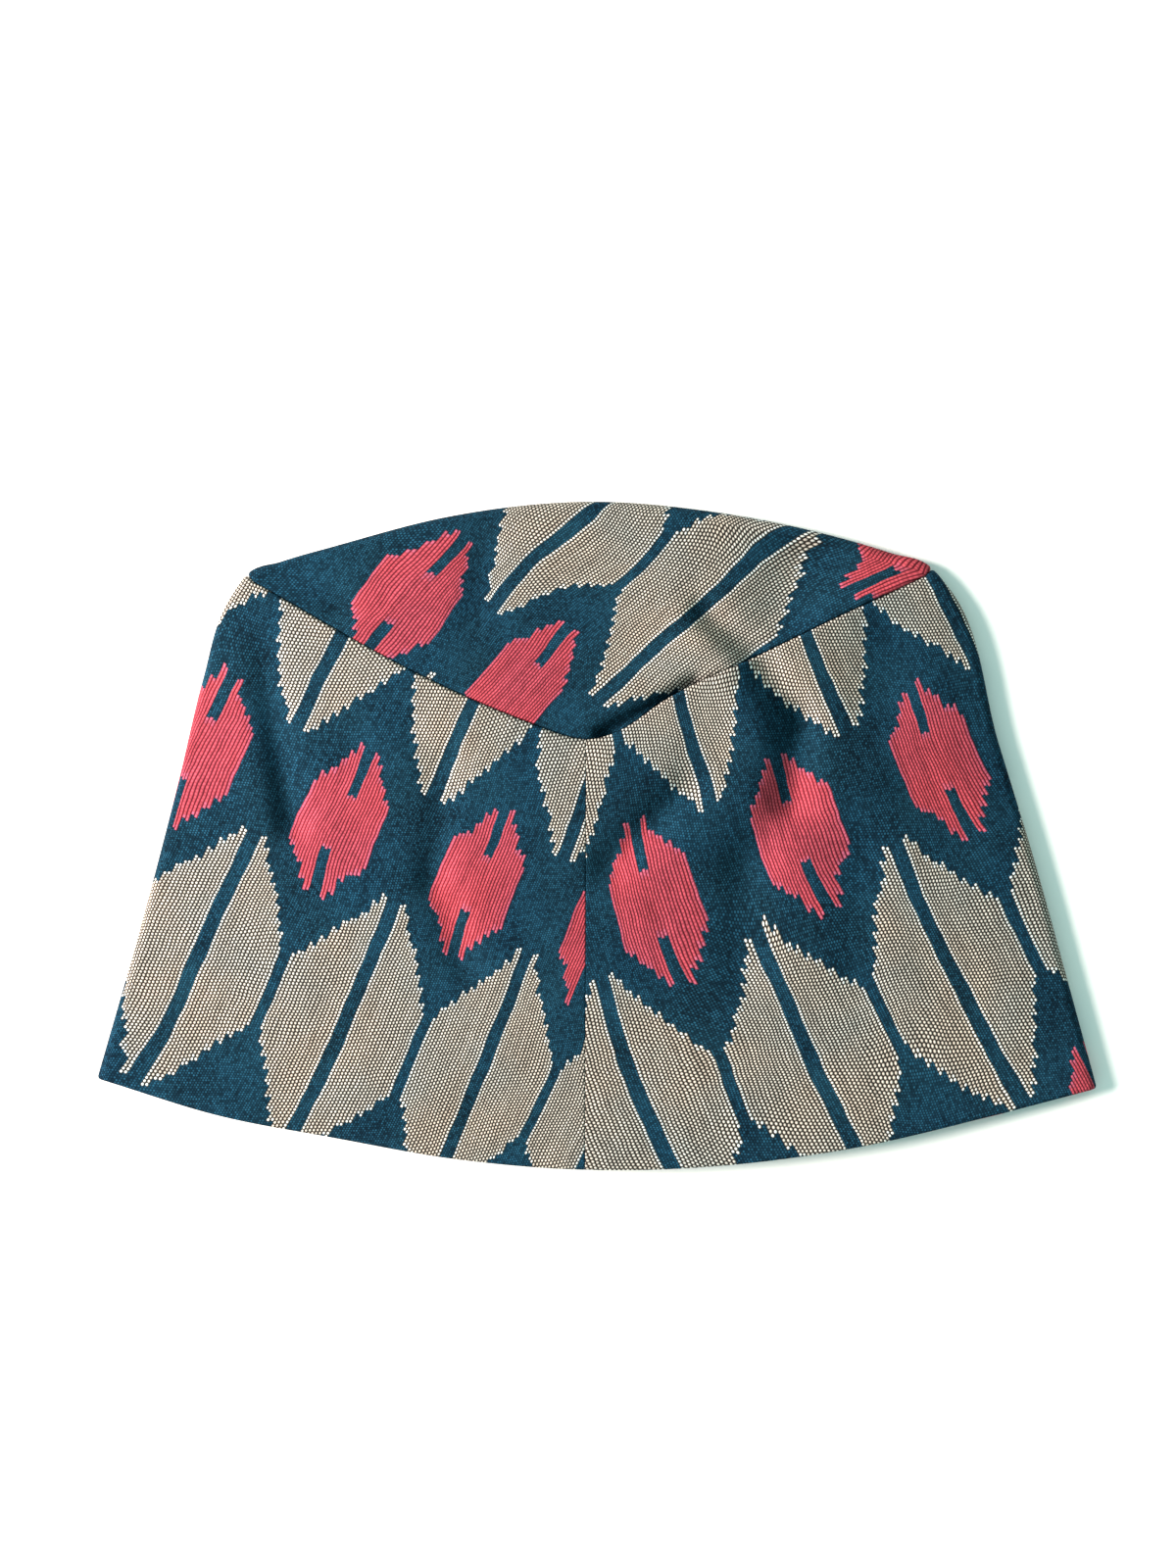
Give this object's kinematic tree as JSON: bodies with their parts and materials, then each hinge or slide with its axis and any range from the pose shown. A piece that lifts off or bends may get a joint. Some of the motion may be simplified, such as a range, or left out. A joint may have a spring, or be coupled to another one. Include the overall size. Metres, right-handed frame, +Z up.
{
  "type": "dhaka topi",
  "caption": "Woven cloth cap lying folded flat: a sewn two-panel band that narrows upward and a leaf-shaped crown folded on its ridge, open at the rim.",
  "frame": {"origin": "middle of the folded cap's footprint, on the surface that it lies on", "axes": "+X across the cap along the rim, +Y from the rim to the crown's ridge, +Z up from the surface"},
  "size_m": [0.2803, 0.1871, 0.017],
  "materials": {
    "left_band_cloth": "matt handloom cotton with inlaid tan and red motifs",
    "right_band_cloth": "matt handloom cotton with inlaid tan and red motifs",
    "crown_cloth": "matt handloom cotton with inlaid tan and red motifs"
  },
  "bodies": {
    "root": {"band_left": "left_band_cloth", "band_right": "right_band_cloth", "crown": "crown_cloth"}
  },
  "joints": []
}
